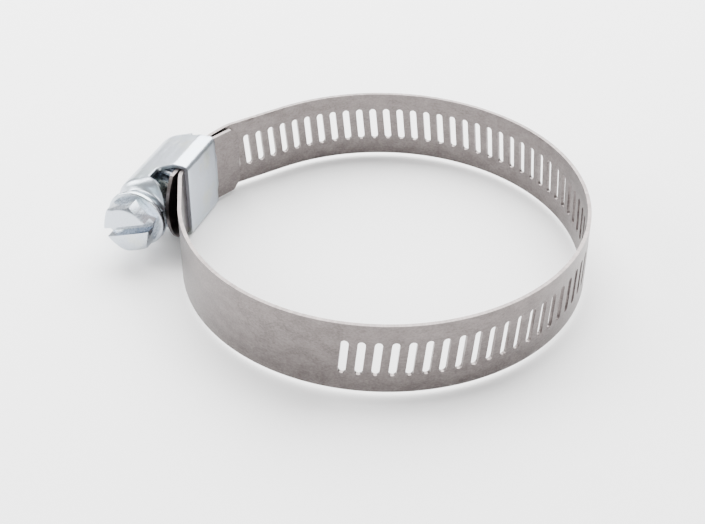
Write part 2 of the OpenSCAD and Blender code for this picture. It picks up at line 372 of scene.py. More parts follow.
@dataclass(frozen=True)
class ClampSizes:
    """The clamp's driving sizes, in millimetres."""

    bore_r: float = 33.5
    band_w: float = 12.7
    band_t: float = 0.6
    slot_l: float = 6.4
    slot_w: float = 1.2
    slot_count: int = 64
    slots_before: int = 5
    tail_round: float = 2.6
    tongue_l: float = 6.3
    tongue_cut: float = 1.6
    window_l: float = 1.3
    window_w: float = 6.0
    pitch: float = 2.54
    crest_r: float = 4.55
    thread_h: float = 0.65
    neck_r: float = 3.25
    collar_r: float = 5.15
    collar_t: float = 0.9
    collar_gap: float = 0.15
    hex_af: float = 8.0
    hex_h: float = 3.6
    drive_w: float = 1.6
    drive_d: float = 2.0
    drive_turn: float = 20.0
    sheet_t: float = 0.7
    wrap_l: float = 10.4
    hood_l: float = 1.2
    bridge_l: float = 3.2
    nose_l: float = 3.7
    saddle_gap: float = 0.05
    seat_gap: float = 0.03
    ply_gap: float = 0.3
    edge_gap: float = 0.1
    tunnel_gap: float = 0.2
    core_gap: float = 0.2
    neck_gap: float = 0.05
    band_room: float = 0.12
    fixed_bend_r: float = 6.0

    @property
    def mid_r(self) -> float:
        """Radius of the band's middle."""
        return self.bore_r + self.band_t / 2

    @property
    def saddle_u(self) -> float:
        """Inner face of the saddle, out from the bore's centre."""
        return self.bore_r + self.saddle_gap

    @property
    def fixed_u(self) -> float:
        """Middle of the band's fixed run."""
        return self.saddle_u + self.sheet_t + self.seat_gap + self.band_t / 2

    @property
    def slide_u(self) -> float:
        """Middle of the band's sliding run."""
        return self.fixed_u + self.band_t + self.ply_gap

    @property
    def core_r(self) -> float:
        """Radius of the screw's core."""
        return self.crest_r - self.thread_h

    @property
    def screw_u(self) -> float:
        """The screw's axis."""
        return self.slide_u + self.band_t / 2 + self.core_gap + self.core_r

    @property
    def wrap_y(self) -> float:
        """Half the length of the housing's wrap."""
        return self.wrap_l / 2

    @property
    def hood_y(self) -> float:
        """The tunnel's far end."""
        return self.wrap_y + self.hood_l

    @property
    def bridge_y(self) -> float:
        """Where the half tunnel meets the nose."""
        return -self.wrap_y - self.bridge_l

    @property
    def nose_y(self) -> float:
        """The nose's open end."""
        return self.bridge_y - self.nose_l

    @property
    def collar_y(self) -> float:
        """The collar's face under the head."""
        return self.nose_y - self.collar_gap - self.collar_t

    @property
    def head_y(self) -> float:
        """The head's end face."""
        return self.collar_y - self.hex_h

    @property
    def first_y(self) -> float:
        """The first hinge along the sliding run."""
        return self.wrap_y + 1

    @property
    def lean(self) -> float:
        """Lean of the slots, which follows the thread."""
        return math.atan(self.pitch / (math.tau * (self.crest_r - self.thread_h / 2)))


# ---- The band's route ----


def ahead(heading: float) -> Vector:
    """Unit step along a heading, clockwise from +Y."""
    return Vector((math.sin(heading), math.cos(heading)))


def outward(heading: float) -> Vector:
    """Unit step to the left of a heading, away from the bore."""
    return Vector((-math.cos(heading), math.sin(heading)))


@dataclass
class BandRoute:
    """The line that the band's middle follows, from its tail round the bore to its tongue."""

    sizes: ClampSizes
    slide_ease: float = 1.1
    fixed_ease: float = 0.4
    legs: list[tuple[float, Vector, float, float]] = field(default_factory=list)
    marks: dict[str, float] = field(default_factory=dict)

    def __post_init__(self) -> None:
        """Lays the legs end to end: each is a start, a heading and a bend per millimetre."""
        z = self.sizes
        short = 2 * z.pitch
        start = Vector((-z.slide_u, z.first_y))
        bend = self._solve(lambda a: (start + short * ahead(a)) @ outward(2 * a) - z.mid_r, 0.1, 0.52)
        lead = 2 * bend
        second = start + short * ahead(bend)
        corner = Vector((-z.fixed_u, -z.first_y))
        leave = math.atan2(z.first_y, z.fixed_u) + math.acos(z.mid_r / corner.length)
        fixed_end = z.mid_r * outward(math.tau - leave)
        bend_y = z.fixed_bend_r * math.tan(leave / 2) - z.first_y
        centre = Vector((z.fixed_bend_r - z.fixed_u, bend_y))
        bend_start = centre + z.fixed_bend_r * outward(math.tau - leave)
        tongue_y = z.wrap_y + 0.2
        reach = math.hypot(z.fixed_u, tongue_y)
        slant = math.atan2(tongue_y, z.fixed_u) + math.acos((z.mid_r + z.band_room) / reach)
        lengths = [
            (z.first_y, 0.0, 0.0),
            (short, bend, 0.0),
            ((z.mid_r * outward(lead) - second).length, lead, 0.0),
            (z.mid_r * (math.tau - lead - leave), lead, 1 / z.mid_r),
            ((bend_start - fixed_end).length, math.tau - leave, 0.0),
            (z.fixed_bend_r * leave, math.tau - leave, 1 / z.fixed_bend_r),
            (tongue_y - bend_y, math.tau, 0.0),
            (z.tongue_l, math.tau + slant, 0.0),
        ]
        names = ["first", "second", "circle", "leave", "corner", "flat", "kink", "end"]
        place, spot = 0.0, Vector((-z.slide_u, 0.0))
        for name, (length, heading, curve) in zip(names, lengths):
            self.legs.append((place, spot, heading, curve))
            spot = self._along(spot, heading, curve, length)
            place += length
            self.marks[name] = place

    @staticmethod
    def _solve(miss: Callable[[float], float], low: float, high: float) -> float:
        """Finds where a falling value crosses zero.

        Args:
            miss: the value, which falls as its argument grows.
            low: where it is positive.
            high: where it is negative.

        Returns:
            The crossing.
        """
        for _ in range(50):
            middle = (low + high) / 2
            low, high = (middle, high) if miss(middle) > 0 else (low, middle)
        return low

    @staticmethod
    def _along(spot: Vector, heading: float, curve: float, length: float) -> Vector:
        """The point a length further on a leg.

        Args:
            spot: the leg's start.
            heading: its heading there.
            curve: its bend per millimetre.
            length: how far on.

        Returns:
            The point.
        """
        if curve == 0:
            return spot + length * ahead(heading)
        centre = spot - outward(heading) / curve
        return centre + outward(heading + curve * length) / curve

    def sharp(self, place: float) -> Vector:
        """The point at a length along the route, with its corners unrounded.

        Args:
            place: length along the route.

        Returns:
            The point.
        """
        start, spot, heading, curve = self.legs[0]
        for leg in self.legs[1:]:
            if place > leg[0]:
                start, spot, heading, curve = leg
        return self._along(spot, heading, curve, place - start)

    def point(self, place: float) -> Vector:
        """The point at a length along the route, with its corners eased.

        Args:
            place: length along the route.

        Returns:
            The point.
        """
        fixed = place > (self.marks["circle"] + self.marks["leave"]) / 2
        reach = self.fixed_ease if fixed else self.slide_ease
        samples = 9
        total = Vector((0.0, 0.0))
        for index in range(samples):
            total += self.sharp(place + reach * (2 * index / (samples - 1) - 1))
        return total / samples


# ---- Mesh helpers ----


def settle(thing: bpy.types.Object) -> bpy.types.Object:
    """Applies a piece's modifiers for good.

    Args:
        thing: the piece.

    Returns:
        The same piece, with a plain mesh.
    """
    evaluated = thing.evaluated_get(bpy.context.evaluated_depsgraph_get())
    mesh = bpy.data.meshes.new_from_object(evaluated)
    thing.modifiers.clear()
    thing.data = mesh
    return thing


def add_piece(name: str, mesh: bpy.types.Mesh) -> bpy.types.Object:
    """Puts a mesh in the scene under a name.

    Args:
        name: the piece's name.
        mesh: its mesh.

    Returns:
        The new piece.
    """
    thing = bpy.data.objects.new(name, mesh)
    bpy.context.scene.collection.objects.link(thing)
    return thing


def smooth(thing: bpy.types.Object, angle: float = 35.0) -> None:
    """Shades a piece smooth, apart from edges sharper than an angle.

    Args:
        thing: the piece.
        angle: in degrees.
    """
    for face in thing.data.polygons:
        face.use_smooth = True
    bpy.context.view_layer.objects.active = thing
    thing.select_set(True)
    bpy.ops.object.shade_smooth_by_angle(angle=math.radians(angle))
    thing.select_set(False)


def round_edges(thing: bpy.types.Object, width: float, segments: int = 2, angle: float = 35.0) -> None:
    """Rounds a piece's sharp edges by a width in millimetres.

    Args:
        thing: the piece.
        width: the rounding.
        segments: steps across it.
        angle: what counts as sharp, in degrees.
    """
    bevel = thing.modifiers.new("rounded", "BEVEL")
    bevel.width = width * MM
    bevel.segments = segments
    bevel.limit_method = "ANGLE"
    bevel.angle_limit = math.radians(angle)
    bevel.use_clamp_overlap = True
    bevel.miter_outer = "MITER_ARC"


def thicken(thing: bpy.types.Object, thickness: float) -> None:
    """Gives a sheet its thickness in millimetres, half to each side.

    Args:
        thing: the sheet.
        thickness: the thickness.
    """
    solid = thing.modifiers.new("sheet", "SOLIDIFY")
    solid.thickness = thickness * MM
    solid.offset = 0
    solid.use_even_offset = True


class Sheet:
    """A mesh built from shared points: asking twice for one place gives one vertex."""

    def __init__(self) -> None:
        """Starts an empty sheet."""
        self.points: list[tuple[float, ...]] = []
        self.faces: list[list[int]] = []
        self._known: dict[tuple[float, ...], int] = {}

    def at(self, *place: float) -> int:
        """The index of the vertex at a place.

        Args:
            place: the point's numbers.

        Returns:
            The index.
        """
        key = tuple(round(value, 4) for value in place)
        if key not in self._known:
            self._known[key] = len(self.points)
            self.points.append(place)
        return self._known[key]

    def face(self, *corners: int) -> None:
        """Adds a face, leaving out corners that fall together.

        Args:
            corners: vertex indices, in order.
        """
        kept = list(dict.fromkeys(corners))
        if len(kept) > 2:
            self.faces.append(kept)

    def mesh(self, name: str, where: Callable[[tuple[float, ...]], Vector]) -> bpy.types.Mesh:
        """Makes the mesh.

        Args:
            name: its name.
            where: turns a stored place into a point in millimetres.

        Returns:
            The mesh, in metres.
        """
        mesh = bpy.data.meshes.new(name)
        mesh.from_pydata([where(point) * MM for point in self.points], [], self.faces)
        shape = bmesh.new()
        shape.from_mesh(mesh)
        bmesh.ops.recalc_face_normals(shape, faces=shape.faces)
        shape.to_mesh(mesh)
        shape.free()
        return mesh


# ---- The band ----


@dataclass
class Band:
    """The slotted strip, parted over the frame's links."""

    sizes: ClampSizes
    route: BandRoute
    edge_round: float = 0.09
    shoulder: float = 4.2
    plain_step: float = 0.635
    short_links: int = 2
    links: int = 9
    open_after: str = "band_link_6"
    short_ease: float = 1.2
    long_ease: float = 6.0
    beyond: float = 40.0
    bare_tail: float = 0.4
    window_lead: float = 0.55
    anchor_lead: float = 2.0
    skin: float = 0.006
    match: float = 0.01

    def hinge(self, index: int) -> float:
        """Length along the route of the hinge before a link, counted from 0.

        Args:
            index: the hinge.

        Returns:
            The length in millimetres.
        """
        z = self.sizes
        corner = z.first_y + 2 * z.pitch
        short_end = corner + self.short_links * 2 * z.pitch
        anchor = self.route.marks["leave"] - self.anchor_lead
        if index == 0:
            return z.first_y
        if index <= self.short_links:
            return corner + index * 2 * z.pitch
        if index == self.links:
            return anchor
        long = (anchor - short_end) / (self.links - self.short_links)
        whole = round((short_end + (index - self.short_links) * long - z.first_y) / z.pitch)
        return z.first_y + z.pitch * whole

    def _slots_start(self) -> float:
        """Where the first slot's pitch begins along the route."""
        return self.sizes.first_y - self.sizes.slots_before * self.sizes.pitch

    def _tail_corner(self) -> float:
        """Where the tail's straight sides end along the route."""
        return self.sizes.first_y - (self.sizes.slots_before + self.bare_tail) * self.sizes.pitch

    def _window_start(self) -> float:
        """Where the tongue's window begins along the route."""
        return self.route.marks["kink"] - self.window_lead

    def _wall(self) -> float:
        """Half the straight length of a slot's side."""
        return (self.sizes.slot_l - self.sizes.slot_w) / 2

    def _rows(self) -> list[float]:
        """Places of the strip's lengthwise lines across its width.

        Returns:
            The places, from one edge to the other.
        """
        half, wall = self.sizes.band_w / 2, self._wall()
        middle = (wall + self.shoulder) / 2
        chamfer = half - self.sizes.tongue_cut
        up = [wall / 2, wall, middle, self.shoulder, chamfer, (chamfer + half) / 2, half]
        return [-row for row in reversed(up)] + [0.0] + up

    def _grid(self, sheet: Sheet, columns: Sequence[float], rows: Sequence[float]) -> None:
        """Fills a plain stretch with faces.

        Args:
            sheet: the flat strip.
            columns: lengths along the route.
            rows: places across the width.
        """
        for left, right in zip(columns, columns[1:]):
            for low, high in zip(rows, rows[1:]):
                corners = ((left, low), (right, low), (right, high), (left, high))
                sheet.face(*[sheet.at(*corner) for corner in corners])

    def _slotted_cell(self, sheet: Sheet, start: float) -> None:
        """Draws one pitch of strip round its slot.

        Args:
            sheet: the flat strip.
            start: where the cell starts along the route.
        """
        z = self.sizes
        half, centre, wall, radius = z.pitch / 2, start + z.pitch / 2, self._wall(), z.slot_w / 2
        columns = [start + z.pitch * step / 4 for step in range(5)]
        rows = self._rows()
        self._grid(sheet, columns, [row for row in rows if row <= -self.shoulder])
        self._grid(sheet, columns, [row for row in rows if row >= self.shoulder])
        side = [row for row in rows if abs(row) <= wall]
        shoulder = [(wall + self.shoulder) / 2, self.shoulder]
        across = [-half / 2, 0.0, half / 2]
        over = [(-half, row) for row in shoulder] + [(x, self.shoulder) for x in across]
        over += [(half, row) for row in reversed(shoulder)]
        turns = [math.pi * (1 - step / (len(over) + 1)) for step in range(1, len(over) + 1)]
        arch = [(radius * math.cos(turn), wall + radius * math.sin(turn)) for turn in turns]
        frame = [(-half, row) for row in side] + over
        rim = [(-radius, row) for row in side] + arch
        frame += [(-x, -y) for x, y in frame]
        rim += [(-x, -y) for x, y in rim]
        cos, sin = math.cos(z.lean), math.sin(z.lean)
        hole = [(x * cos - y * sin, y * cos + x * sin) for x, y in rim]
        for index in range(len(frame)):
            after = (index + 1) % len(frame)
            corners = [frame[index], hole[index], hole[after], frame[after]]
            sheet.face(*[sheet.at(centre + x, y) for x, y in corners])

    def _plain(self, sheet: Sheet, start: float, end: float) -> None:
        """Fills a stretch without slots, from one length along the route to another."""
        count = max(1, round((end - start) / self.plain_step))
        self._grid(sheet, [start + (end - start) * k / count for k in range(count + 1)], self._rows())

    def _flat_strip(self) -> Sheet:
        """Draws the whole band flat: length along the route, then place across the width.

        Returns:
            The flat strip.
        """
        z, sheet = self.sizes, Sheet()
        slots_start = self._slots_start()
        slots_end = slots_start + z.slot_count * z.pitch
        tail_corner = self._tail_corner()
        self._plain(sheet, tail_corner, slots_start)
        for index in range(z.slot_count):
            self._slotted_cell(sheet, slots_start + index * z.pitch)
        window = self._window_start()
        last_pitch = slots_end + z.pitch * math.floor((self.hinge(self.links) - slots_end) / z.pitch)
        self._plain(sheet, slots_end, last_pitch)
        self._plain(sheet, last_pitch, window)
        rows, edge = self._rows(), z.window_w / 2
        near = min((row for row in rows if row > 0), key=lambda row: abs(row - edge))
        self._window_rows = (near, edge)
        low = [row for row in rows if row <= -near]
        high = [row for row in rows if row >= near]
        middle = window + z.window_l / 2
        for part in (low, high):
            self._grid(sheet, [window, middle, window + z.window_l], part)
        end = self.route.marks["end"]
        self._plain(sheet, window + z.window_l, end - z.tongue_cut)
        self._plain(sheet, end - z.tongue_cut, end)
        return sheet

    def _shaped(self, place: float, across: float) -> tuple[float, float]:
        """Moves the flat strip's points to its rounded tail, cut tongue and window.

        Args:
            place: length along the route.
            across: place across the width.

        Returns:
            The moved length and place.
        """
        z = self.sizes
        half = z.band_w / 2
        slots_start = self._slots_start()
        tail_corner = self._tail_corner()
        if place < slots_start:
            radius = (half * half + z.tail_round * z.tail_round) / (2 * z.tail_round)
            bulge = math.sqrt(radius * radius - across * across) - (radius - z.tail_round)
            place -= bulge * (slots_start - place) / (slots_start - tail_corner)
        end = self.route.marks["end"]
        if place > end - z.tongue_cut:
            share = (place - end + z.tongue_cut) / z.tongue_cut
            place -= share * max(0.0, abs(across) - (half - z.tongue_cut))
        window = self._window_start()
        near, edge = self._window_rows
        beside = window - self.match < place < window + z.window_l + self.match
        if beside and abs(abs(across) - near) < self.match:
            across = math.copysign(edge, across)
        return place, across

    def _standing(self, spot: tuple[float, ...]) -> Vector:
        """The point of the band's middle surface for a point of the flat strip.

        Args:
            spot: length and place across.

        Returns:
            The point.
        """
        place, across = self._shaped(spot[0], spot[1])
        if place not in self._columns:
            self._columns[place] = self.route.point(place)
        middle = self._columns[place]
        return Vector((middle.x, middle.y, across))

    def whole(self, finish: bpy.types.Material) -> bpy.types.Object:
        """Builds the band in one piece, thick and with its edges rounded.

        Args:
            finish: the strip's material.

        Returns:
            The band, with each vertex's place along and across it stored.
        """
        self._columns: dict[float, Vector] = {}
        sheet = self._flat_strip()
        mesh = sheet.mesh("band_whole", self._standing)
        stored = mesh.attributes.new("strip_place", "FLOAT_VECTOR", "POINT")
        values: list[float] = []
        for place, across in sheet.points:
            values += [*self._shaped(place, across), 0.0]
        stored.data.foreach_set("vector", values)
        mesh.materials.append(finish)
        band = add_piece("band_whole", mesh)
        thicken(band, self.sizes.band_t)
        round_edges(band, self.edge_round, 2)
        self._mark_cut_edges(settle(band).data)
        return band

    def _mark_cut_edges(self, mesh: bpy.types.Mesh) -> None:
        """Stores 1 on the band's sheared edges, -1 on its punched ones and 0 on its rolled faces; the
        material paints a highlight on the first and shade on the second.

        Args:
            mesh: the thick band's mesh.
        """
        inside = self.sizes.band_t / 2 - self.skin
        side = self.sizes.band_w / 2 - self.edge_round
        stored = mesh.attributes["strip_place"].data
        for index, vertex in enumerate(mesh.vertices):
            place, across, _ = stored[index].vector
            away = (vertex.co.xy / MM - self.route.point(place)).length
            share = 1.0 if abs(across) > side else -1.0
            stored[index].vector = (place, across, share * float(away < inside))

    def part(self, band: bpy.types.Object) -> list[bpy.types.Object]:
        """Parts the band at the middle of its links.

        Args:
            band: the whole band, which is removed.

        Returns:
            The parts, from the tail to the tongue.
        """
        z = self.sizes
        chain = ["band_tail_tip", "band_tail"] + [f"band_link_{k}" for k in range(1, self.links + 1)]
        chain.append("housing")
        stops = [z.first_y - 4 * z.pitch] + [self.hinge(index) for index in range(self.links + 1)]
        opened = chain.index(self.open_after)
        made = []
        for index, stop in enumerate(stops):
            if index == opened:
                continue
            name = f"band_strip_{len(made) + 1:02d}"
            low, high = self._border(stops, opened, index), self._border(stops, opened, index + 1)
            piece = self._cut_out(band, name, low, high)
            reach = self.short_ease if index <= self.short_links + 1 else self.long_ease
            first, second = self.route.point(stop - reach), self.route.point(stop + reach)
            chain[index + 1]
            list(first * MM)
            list(second * MM)
            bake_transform(piece)
            made.append(piece)
        bpy.data.objects.remove(band)
        nodes = ["band_anchor", *chain[:-1]]
        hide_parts(*nodes)
        return made

    def _border(self, stops: Sequence[float], opened: int, index: int) -> float:
        """Where the part before a hinge ends and the next begins.

        Args:
            stops: the hinges' places.
            opened: which of them joins nothing.
            index: the hinge after the border.

        Returns:
            A web between two slots near the middle of the link, or the opened hinge itself.
        """
        if index == 0:
            return stops[0] - self.beyond
        if index == len(stops):
            return stops[-1] + self.beyond
        if opened in (index - 1, index):
            return stops[opened]
        webs = math.floor((stops[index] - stops[index - 1]) / self.sizes.pitch / 2 + 0.01)
        return stops[index - 1] + webs * self.sizes.pitch

    def _cut_out(self, band: bpy.types.Object, name: str, low: float, high: float) -> bpy.types.Object:
        """Copies the stretch of band between two lengths along the route and closes its ends.

        Args:
            band: the whole band.
            name: the piece's name.
            low: where it starts.
            high: where it ends.

        Returns:
            The new piece.
        """
        shape = bmesh.new()
        shape.from_mesh(band.data)
        layer = shape.verts.layers.float_vector["strip_place"]
        away = []
        for face in shape.faces:
            middle = sum(vertex[layer].x for vertex in face.verts) / len(face.verts)
            if not low < middle < high:
                away.append(face)
        bmesh.ops.delete(shape, geom=away, context="FACES")
        open_edges = [edge for edge in shape.edges if edge.is_boundary]
        bmesh.ops.holes_fill(shape, edges=open_edges)
        mesh = bpy.data.meshes.new(name)
        shape.to_mesh(mesh)
        shape.free()
        mesh.materials.append(band.data.materials[0])
        piece = add_piece(name, mesh)
        smooth(piece, 30)
        return piece


# ---- The housing ----


@dataclass
class Housing:
    """The one-piece stamped housing: tunnel, flanks, saddle and the nose that necks to the screw."""

    sizes: ClampSizes
    arch_rows: int = 33
    knee_r: float = 1.3
    corner_r: float = 0.72
    hood_angle: float = 104.0
    bridge_angle: float = 98.0
    fillet: float = 0.9
    cut_round: float = 0.13
    tab_share: float = 0.4
    tab_rise: float = 1.0
    open_l: float = 1.3
    lip_gap: float = 0.35
    lip_step: float = 0.12
    lip_l: float = 0.36
    hood_curl: float = 0.1

    def _shell_r(self) -> float:
        """Radius of the middle of the sheet round the screw."""
        return self.sizes.crest_r + self.sizes.tunnel_gap + self.sizes.sheet_t / 2

    def _section(self) -> list[Vector]:
        """Half of the sheet's middle line across the wrap, from the crest to the saddle's middle.

        Returns:
            Points as distance outwards from the bore's centre and height.
        """
        z = self.sizes
        radius = self._shell_r()
        half = z.band_w / 2 + z.edge_gap + z.sheet_t / 2
        knee = Vector((z.slide_u + z.band_t / 2 + z.sheet_t / 2, half))
        low = z.saddle_u + z.sheet_t / 2
        to_knee = knee - Vector((z.screw_u, 0))
        touch = math.acos(radius / to_knee.length)
        lean = math.atan2(to_knee.y, to_knee.x) - touch
        start = Vector((z.screw_u + radius * math.cos(lean), radius * math.sin(lean)))
        self._touch = lean
        line = [start]
        line += self._rounded(start, knee, Vector((low, half)), self.knee_r, 6)
        line += self._rounded(knee, Vector((low, half)), Vector((low, 0.0)), self.corner_r, 7)
        line += [Vector((low, half * share)) for share in (0.8, 0.6, self.tab_share, 0.2, 0.0)]
        return line

    @staticmethod
    def _rounded(before: Vector, corner: Vector, after: Vector, radius: float, steps: int) -> list[Vector]:
        """Points of an arc that rounds a corner between two straight lines.

        Args:
            before: a point on the first line.
            corner: where the lines meet.
            after: a point on the second line.
            radius: the arc's radius.
            steps: how many pieces it has.

        Returns:
            The arc's points.
        """
        one, two = (before - corner).normalized(), (after - corner).normalized()
        half_angle = one.angle(two) / 2
        reach = min(
            radius / math.tan(half_angle),
            (after - corner).length * 0.9,
            (before - corner).length * 0.9,
        )
        radius = reach * math.tan(half_angle)
        centre = corner + (one + two).normalized() * radius / math.sin(half_angle)
        start, end = corner + one * reach - centre, corner + two * reach - centre
        first, sweep = math.atan2(start.y, start.x), start.angle_signed(end)
        turns = [first - sweep * step / steps for step in range(steps + 1)]
        return [centre + radius * Vector((math.cos(turn), math.sin(turn))) for turn in turns]

    def _reach(self, angle: float) -> float:
        """Distance of the wrap's sheet from the screw's axis, at an angle from the crest."""
        turn = abs(angle) - self._touch
        return self._shell_r() / math.cos(turn) if turn > 0 else self._shell_r()

    def _columns(self) -> list[Station]:
        """Stations along the screw.

        Returns:
            For each: place along Y, radius where the sheet is round, share of that roundness
            against the wrap's section, and how far round from the crest the sheet reaches.
        """
        z, shell = self.sizes, self._shell_r()
        neck = z.neck_r + z.neck_gap + z.sheet_t / 2
        hood, bridge = math.radians(self.hood_angle), math.radians(self.bridge_angle)
        nose = [
            (0.0, shell, 0.0),
            (0.35, shell - 0.03, 0.35),
            (0.7, shell - 0.2, 0.7),
            (1.0, shell - 0.62, 0.9),
            (1.3, neck + 0.32, 1.0),
            (1.6, neck + 0.06, 1.0),
            (1.95, neck, 1.0),
            (2.3, neck + 0.06, 1.0),
            (2.7, neck + 0.26, 1.0),
            (3.2, neck + 0.55, 1.0),
            (z.nose_l, neck + 0.8, 1.0),
        ]
        stations = []
        for back, radius, share in reversed(nose):
            open_at = (z.slide_u + z.band_t / 2 + z.band_room + self.lip_gap - z.screw_u) / radius
            limit = math.acos(max(-0.97, open_at))
            limit = bridge + (limit - bridge) * min(1.0, back / self.open_l)
            stations.append((z.bridge_y - back, radius, share, limit))
        for part in (0.33, 0.66):
            stations.append((z.bridge_y + part * (z.bridge_l - self.fillet), shell, 0.0, bridge))
        wrap = self._wrap_angle
        for step in range(6):
            turn = math.pi / 2 * step / 6
            rise = 1 - math.cos(turn)
            limit = bridge + (wrap - bridge) * rise
            stations.append((-z.wrap_y - self.fillet * (1 - math.sin(turn)), shell, 0.0, limit))
        for step in range(13):
            stations.append((-z.wrap_y + z.wrap_l * step / 12, shell, 0.0, wrap))
        for step in range(1, 4):
            limit = wrap + (hood - wrap) * step / 3
            stations.append((z.wrap_y + self.lip_step * step, shell, 0.0, limit))
        for step in range(1, 4):
            curl = self.hood_curl * (step / 3) ** 2
            along = z.wrap_y + self.lip_l + (z.hood_l - self.lip_l) * step / 3
            stations.append((along, shell - curl, 0.0, hood))
        return stations

    def _tab(self, sheet: Sheet, loop: Sequence[Vector]) -> None:
        """Turns a tab up from the saddle's end, which holds the band by its window.

        Args:
            sheet: the housing's sheet.
            loop: the wrap's lower line.
        """
        z = self.sizes
        widest = self.tab_share * (z.band_w / 2 + z.edge_gap + z.sheet_t / 2) + 0.01
        root = [(q.x, q.y) for q in loop if abs(q.y) < widest]
        for (u0, w0), (u1, w1) in zip(root, root[1:]):
            for low, high in ((0.0, 0.5), (0.5, 1.0)):
                sheet.face(
                    sheet.at(-u0 - self.tab_rise * low, z.wrap_y, w0),
                    sheet.at(-u1 - self.tab_rise * low, z.wrap_y, w1),
                    sheet.at(-u1 - self.tab_rise * high, z.wrap_y, w1),
                    sheet.at(-u0 - self.tab_rise * high, z.wrap_y, w0),
                )

    def build(self, finish: bpy.types.Material) -> bpy.types.Object:
        """Builds the housing.

        Args:
            finish: its material.

        Returns:
            The housing.
        """
        z = self.sizes
        section = self._section()
        arch_end, below = section[1], section[2:]
        self._wrap_angle = math.atan2(arch_end.y, arch_end.x - z.screw_u)
        rows = [2 * row / (self.arch_rows - 1) - 1 for row in range(self.arch_rows)]
        sheet, columns = Sheet(), self._columns()

        def arch_point(column: Station, row: float) -> int:
            """The vertex on a station, at a share of its half turn from the crest."""
            along, radius, share, limit = column
            angle = row * limit
            scale = radius / self._shell_r()
            away = share * radius + (1 - share) * self._reach(angle) * scale
            return sheet.at(-z.screw_u - away * math.cos(angle), along, away * math.sin(angle))

        loop = below[:-1] + [Vector((below[-1].x, 0.0))] + [Vector((q.x, -q.y)) for q in reversed(below[:-1])]
        for one, two in zip(columns, columns[1:]):
            for low, high in zip(rows, rows[1:]):
                corners = ((one, low), (one, high), (two, high), (two, low))
                sheet.face(*[arch_point(*corner) for corner in corners])
            if one[0] >= -z.wrap_y - 1e-6 and two[0] <= z.wrap_y + 1e-6:
                first = [arch_point(one, 1.0)] + [sheet.at(-q.x, one[0], q.y) for q in loop]
                second = [arch_point(two, 1.0)] + [sheet.at(-q.x, two[0], q.y) for q in loop]
                first.append(arch_point(one, -1.0))
                second.append(arch_point(two, -1.0))
                for index in range(len(first) - 1):
                    sheet.face(first[index], first[index + 1], second[index + 1], second[index])
        self._tab(sheet, loop)
        mesh = sheet.mesh("housing_shell", lambda spot: Vector(spot))
        mesh.materials.append(finish)
        shell = add_piece("housing_shell", mesh)
        thicken(shell, z.sheet_t)
        round_edges(shell, self.cut_round, 3, 50)
        settle(shell)
        smooth(shell, 40)
        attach(shell, "housing")
        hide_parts("housing")
        return shell


# ---- The screw ----


